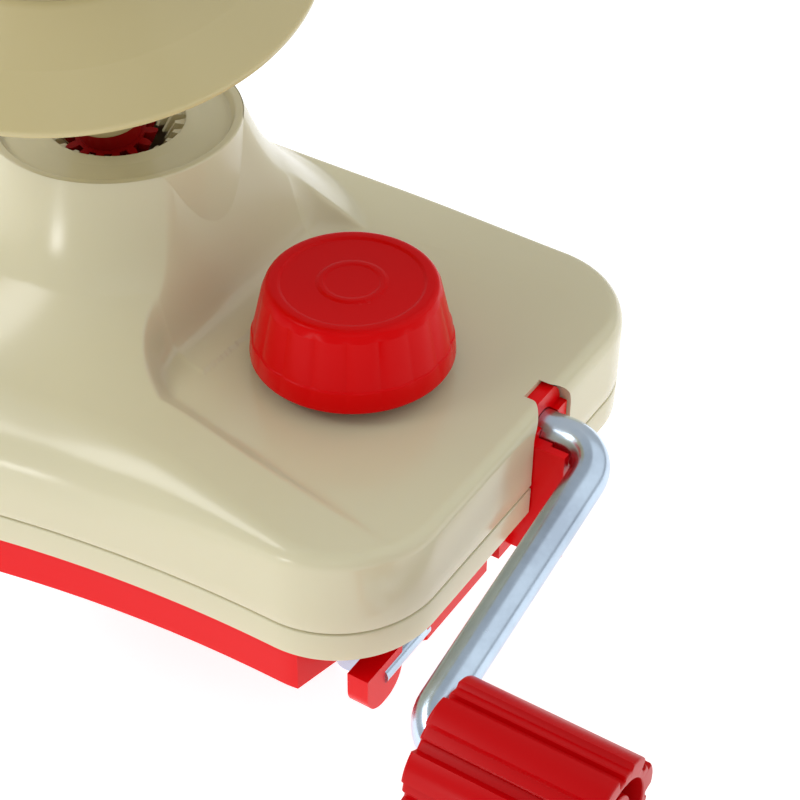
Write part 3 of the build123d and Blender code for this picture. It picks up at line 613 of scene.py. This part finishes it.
def acetal():
    nodes = Nodes("white_acetal_look")
    clouds = nodes.noise(60.0, 3.0)
    nodes.ramp(clouds, "Fac", [(0.3, srgb(222, 216, 196)), (0.7, srgb(236, 232, 216))], "Base Color")
    fine = nodes.noise(700.0, 3.0)
    nodes.spread(fine, "Fac", 0.38, 0.52, "Roughness")
    nodes.bump(fine, "Fac", 0.08, 0.00005)
    nodes.set(Subsurface_Weight=0.1, Subsurface_Scale=0.002)
    return nodes.material


def rubber():
    nodes = Nodes("black_rubber_look")
    dust = nodes.noise(80.0, 5.0, 0.65)
    nodes.ramp(dust, "Fac", [(0.35, srgb(26, 26, 27)), (0.8, srgb(50, 49, 47))], "Base Color")
    grain = nodes.noise(1200.0, 3.0)
    nodes.spread(grain, "Fac", 0.72, 0.92, "Roughness")
    nodes.bump(grain, "Fac", 0.35, 0.0001)
    return nodes.material


CREAM = moulded_plastic("cream_plastic_look", srgb(207, 201, 169), srgb(203, 196, 163), 0.20, 0.5,
                        0.12, (1.0, 0.8, 0.45))
# Painted shade: the spool disc is the housing's cream plastic, made darker and browner to stand for the
# shade it is seen in.
SHADED_DISC_CREAM = moulded_plastic("disc_cream_painted_shade_look", srgb(190, 178, 132), srgb(186, 173, 127), 0.24, 0.4,
                             0.12, (1.0, 0.8, 0.45))
RED = moulded_plastic("red_plastic_look", srgb(228, 2, 10), srgb(220, 1, 8), 0.26, 0.14,
                      0.05, (1.0, 0.12, 0.08))
KNOB_RED = moulded_plastic("knob_red_look", srgb(214, 0, 3), srgb(204, 0, 2), 0.26, 0.09,
                           0.03, (1.0, 0.1, 0.06))
GRIP_RED = moulded_plastic("grip_red_look", srgb(190, 1, 6), srgb(180, 0, 5), 0.32, 0.14,
                           0.03, (1.0, 0.1, 0.08))
# Painted shade: the planet gear is the same red plastic, darkened to stand for the deep shade inside the
# tower's mouth.
SHADED_PLANET_RED = moulded_plastic("red_plastic_painted_shade_look", srgb(150, 14, 12), srgb(120, 8, 8), 0.38, 0.1,
                           0.05, (1.0, 0.2, 0.1))
ZINC = zinc_steel()
ACETAL = acetal()
RUBBER = rubber()

LOOK_OF_NODE = {
    "upper_housing": CREAM, "lower_rim": CREAM, "bottom_tray": RED, "table_pad": RUBBER,
    "housing_screws": ZINC, "front_bearing": RED, "rear_bearing": RED, "front_bush": ACETAL,
    "rear_bush": ACETAL, "shaft_bridge": RED, "tower_bush": ACETAL, "lower_bush": ACETAL,
    "idler_pin": ZINC, "idler_clip": ZINC, "ring_gear": CREAM, "guide_post": RED, "guide_pivot": ZINC,
    "crank_rod": ZINC, "crank_wheel": ACETAL, "crank_collar": ZINC, "grip_retainer": ZINC,
    "crank_grip": GRIP_RED, "idler_gear": ACETAL, "main_shaft": ZINC, "main_pinion": ACETAL,
    # The planet gear's red carries painted shade.
    "thrust_washer": ZINC, "spool_collar": ZINC, "planet_gear": SHADED_PLANET_RED, "spool_disc": SHADED_DISC_CREAM,
    "spool_cone": SHADED_DISC_CREAM, "clamp_knob": KNOB_RED, "clamp_screw": ZINC, "screw_collar": ZINC,
    "clamp_jaw": RED, "jaw_nut": ZINC, "jaw_pad": RUBBER, "heel_tongue": RED, "heel_pin": ZINC,
    "guide_arm": ZINC, "guide_hub": RED,
}
for node, look in LOOK_OF_NODE.items():
    part = NODES[node]
    if not part.material_slots:
        part.data.materials.append(look)
    for slot in part.material_slots:
        slot.material = look


def place(piece, look, body, slot, *nodes):
    """Gives a piece its look and body, and lets it stand for its CAD nodes. The slot argument is not used.
    """
    piece.data.materials.clear()
    piece.data.materials.append(look)
    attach(piece, body)
    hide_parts(*nodes)


shell = upper_housing()
rim = lower_rim()
cutter = slot_cutter()
cut(shell, cutter)
cut(rim, cutter)
bpy.data.objects.remove(cutter)
place(shell, CREAM, "housing", "cream_plastic", "upper_housing")
place(rim, CREAM, "housing", "cream_plastic", "lower_rim")
place(clamp_knob(), KNOB_RED, "clamp_screw", "red_plastic", "clamp_knob")
place(crank_grip(), GRIP_RED, "grip", "grip_red_plastic", "crank_grip")
# The disc's cream is darkened with painted shade.
place(spool_disc(), SHADED_DISC_CREAM, "spool", "cream_plastic", "spool_disc")


# --- stage, lights and camera ---------------------------------------------------------------------

def floor():
    """Wide pale sheet under the object."""
    half = 3.0
    z = CAD_BOX[0][2] - 0.0005
    mesh = bpy.data.meshes.new("floor")
    mesh.from_pydata([(-half, -half, z), (half, -half, z), (half, half, z), (-half, half, z)], [],
                     [(0, 1, 2, 3)])
    sheet = bpy.data.objects.new("floor", mesh)
    bpy.context.scene.collection.objects.link(sheet)
    nodes = Nodes("pale_floor")
    grain = nodes.noise(30.0, 3.0)
    nodes.ramp(grain, "Fac", [(0.3, (0.70, 0.70, 0.70, 1)), (0.7, (0.72, 0.72, 0.72, 1))], "Base Color")
    nodes.set(Roughness=0.9, Emission_Color=(1, 1, 1, 1), Emission_Strength=0.75)
    sheet.data.materials.append(nodes.material)


def softbox(name, spot, target, width, height, watts, colour=(1, 1, 1)):
    light = bpy.data.lights.new(name, "AREA")
    light.shape = "RECTANGLE"
    light.size = width
    light.size_y = height
    light.energy = watts
    light.color = colour
    lamp = bpy.data.objects.new(name, light)
    bpy.context.scene.collection.objects.link(lamp)
    lamp.location = spot
    lamp.rotation_euler = (Vector(target) - Vector(spot)).to_track_quat("-Z", "Y").to_euler()


def world():
    surround = bpy.data.worlds.new("studio")
    bpy.context.scene.world = surround
    surround.use_nodes = True
    background = surround.node_tree.nodes["Background"]
    background.inputs["Color"].default_value = (1.0, 1.0, 1.0, 1)
    background.inputs["Strength"].default_value = 0.55


def camera():
    """Close view from above the near corner of the crank end."""
    position = Vector((198.21, -219.73, 241.88)) * MM
    yaw = radians(122.23)
    pitch = radians(39.81)
    roll = radians(0.608)
    ahead = Vector((cos(pitch) * cos(yaw), cos(pitch) * sin(yaw), -sin(pitch)))
    right = ahead.cross(Vector((0, 0, 1))).normalized()
    up = right.cross(ahead)
    image_right = right * cos(roll) + up * sin(roll)
    image_up = up * cos(roll) - right * sin(roll)
    data = bpy.data.cameras.new("view")
    data.lens = 86.574
    data.sensor_width = 36.0
    data.clip_start = 0.01
    data.clip_end = 20
    eye = bpy.data.objects.new("view", data)
    bpy.context.scene.collection.objects.link(eye)
    axes = Matrix((image_right, image_up, -ahead)).transposed()
    eye.matrix_world = Matrix.Translation(position) @ axes.to_4x4()
    bpy.context.scene.camera = eye


floor()
world()
TARGET = (0.03, 0.0, 0.03)
softbox("key", (-0.60, -0.32, 0.78), TARGET, 0.95, 0.34, 4.6)
softbox("front", (-0.18, -1.05, 0.07), TARGET, 0.16, 0.12, 0.8)
softbox("fill", (0.7, -0.9, 0.9), TARGET, 0.9, 0.9, 0.8)
softbox("roof", (0.75, 0.55, 0.85), (0.06, 0.02, 0.03), 1.5, 1.5, 3.8)
camera()
bpy.context.scene.view_settings.view_transform = "Standard"
